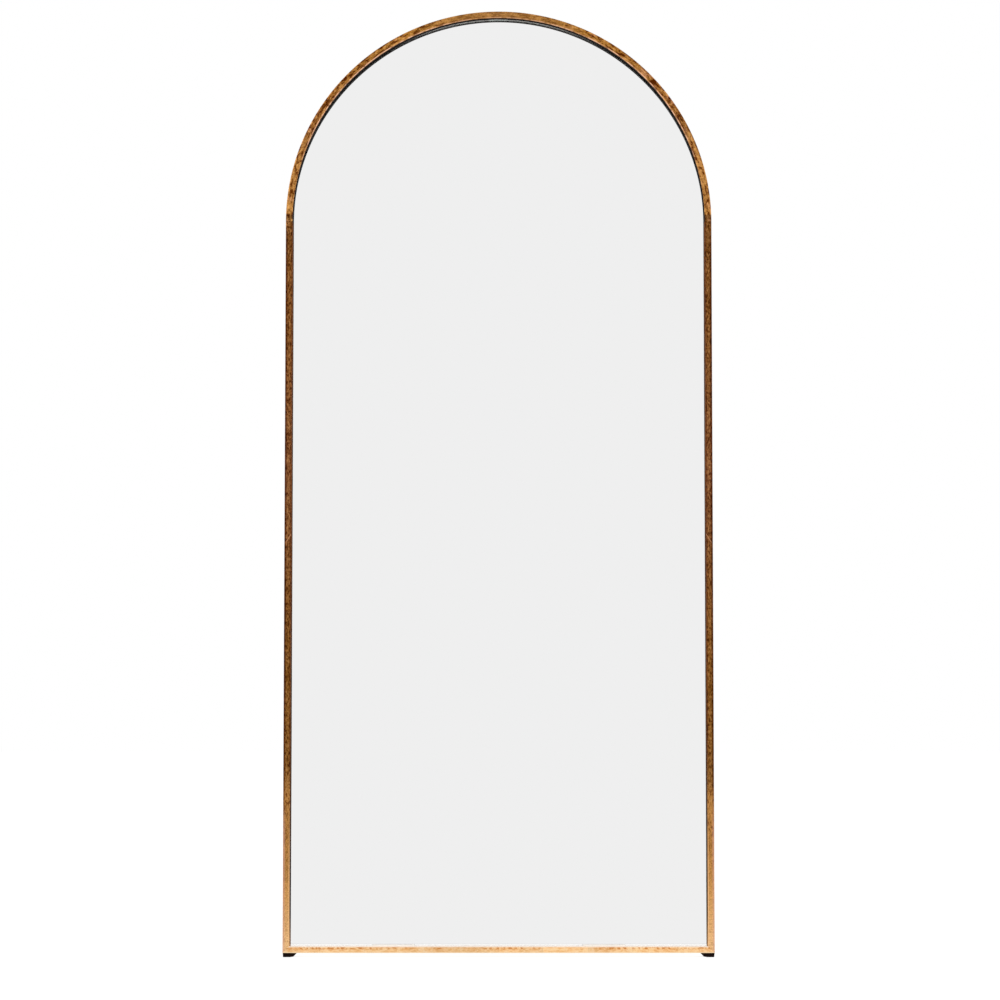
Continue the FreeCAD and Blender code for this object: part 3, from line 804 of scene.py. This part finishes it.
pane = arched_plate("mirror_pane", glass_high.x, glass_low.z, glass_low.y, glass_high.y)
stand_for(make_object("mirror_pane", pane, GLASS, 20), ["mirror_glass"], "mirror")

# ---- Studio ----

FLOOR_REACH = 60
FLOOR_BASE = (0.8, 0.8, 0.8, 1)
FLOOR_SEEN = (0.25, 0.25, 0.25, 1)
FLOOR_GLOW = 0.86
WORLD_LIGHT = 0.72

floor_mesh = bpy.data.meshes.new("studio_floor")
floor_mesh.from_pydata([(-FLOOR_REACH, -FLOOR_REACH, 0), (FLOOR_REACH, -FLOOR_REACH, 0),
                        (FLOOR_REACH, FLOOR_REACH, 0), (-FLOOR_REACH, FLOOR_REACH, 0)], [], [(0, 1, 2, 3)])
studio_floor = bpy.data.objects.new("studio_floor", floor_mesh)
bpy.context.scene.collection.objects.link(studio_floor)


def seen_by(tree, *rays):
    """1 for rays of any of the kinds, and 0 for the others."""
    path = tree.nodes.new("ShaderNodeLightPath")
    value = path.outputs[rays[0]]
    for ray in rays[1:]:
        node = tree.nodes.new("ShaderNodeMath")
        node.operation = "MAXIMUM"
        tree.links.new(value, node.inputs[0])
        tree.links.new(path.outputs[ray], node.inputs[1])
        value = node.outputs[0]
    return value


def stage_material():
    """White to the eye and in reflections, and an ordinary pale floor to light the object. It keeps shadows."""
    material = bpy.data.materials.new("pale_floor")
    material.use_nodes = True
    tree = material.node_tree
    nodes, links = tree.nodes, tree.links
    nodes.clear()
    pale, seen = nodes.new("ShaderNodeBsdfDiffuse"), nodes.new("ShaderNodeBsdfDiffuse")
    glow, white = nodes.new("ShaderNodeEmission"), nodes.new("ShaderNodeEmission")
    pale.inputs["Color"].default_value = FLOOR_BASE
    seen.inputs["Color"].default_value = FLOOR_SEEN
    glow.inputs["Strength"].default_value = FLOOR_GLOW
    both = nodes.new("ShaderNodeAddShader")
    links.new(seen.outputs[0], both.inputs[0])
    links.new(glow.outputs[0], both.inputs[1])
    for_camera, for_mirror = nodes.new("ShaderNodeMixShader"), nodes.new("ShaderNodeMixShader")
    links.new(seen_by(tree, "Is Camera Ray"), for_camera.inputs["Fac"])
    links.new(pale.outputs[0], for_camera.inputs[1])
    links.new(both.outputs[0], for_camera.inputs[2])
    links.new(seen_by(tree, "Is Glossy Ray", "Is Transmission Ray"), for_mirror.inputs["Fac"])
    links.new(for_camera.outputs[0], for_mirror.inputs[1])
    links.new(white.outputs[0], for_mirror.inputs[2])
    output = nodes.new("ShaderNodeOutputMaterial")
    links.new(for_mirror.outputs[0], output.inputs["Surface"])
    return material


floor_mesh.materials.append(stage_material())

world = bpy.data.worlds.new("studio")
bpy.context.scene.world = world
world.use_nodes = True
tree = world.node_tree
background = tree.nodes["Background"]
background.inputs["Color"].default_value = (1, 1, 1, 1)
strength = tree.nodes.new("ShaderNodeMapRange")
strength.inputs["To Min"].default_value = WORLD_LIGHT
tree.links.new(seen_by(tree, "Is Camera Ray", "Is Glossy Ray", "Is Transmission Ray"), strength.inputs["Value"])
tree.links.new(strength.outputs["Result"], background.inputs["Strength"])

LAMP_TARGET = Vector((0, 0, 0.9))


def lamp(name, place, size, power):
    data = bpy.data.lights.new(name, "AREA")
    data.shape, data.size, data.energy = "DISK", size, power
    light = bpy.data.objects.new(name, data)
    bpy.context.scene.collection.objects.link(light)
    light.location = place
    light.rotation_euler = (LAMP_TARGET - Vector(place)).to_track_quat("-Z", "Y").to_euler()


lamp("key", (-3.2, -3.4, 3.4), 2.0, 60)
lamp("fill", (3.6, -3.0, 2.2), 2.4, 30)
lamp("rear", (1.2, 4.2, 3.4), 2.4, 70)

# ---- Camera: square on, at knee height, tipped up a little ----

CAMERA_DISTANCE = 5.5
CAMERA_HEIGHT = 0.42
CAMERA_SIDE = 0.0026
CAMERA_PITCH = 3.6132
CAMERA_LENS = 104.612
CAMERA_SHIFT = 0.05

camera_data = bpy.data.cameras.new("camera")
camera_data.lens = CAMERA_LENS
camera_data.shift_y = CAMERA_SHIFT
camera_data.sensor_width = 36
camera_data.clip_start, camera_data.clip_end = 0.05, 300
camera = bpy.data.objects.new("camera", camera_data)
bpy.context.scene.collection.objects.link(camera)
camera.location = (CAMERA_SIDE, FRONT - CAMERA_DISTANCE, CAMERA_HEIGHT)
camera.rotation_euler = (math.radians(90 + CAMERA_PITCH), 0, 0)
bpy.context.scene.camera = camera

bpy.context.scene.view_settings.view_transform = "Standard"
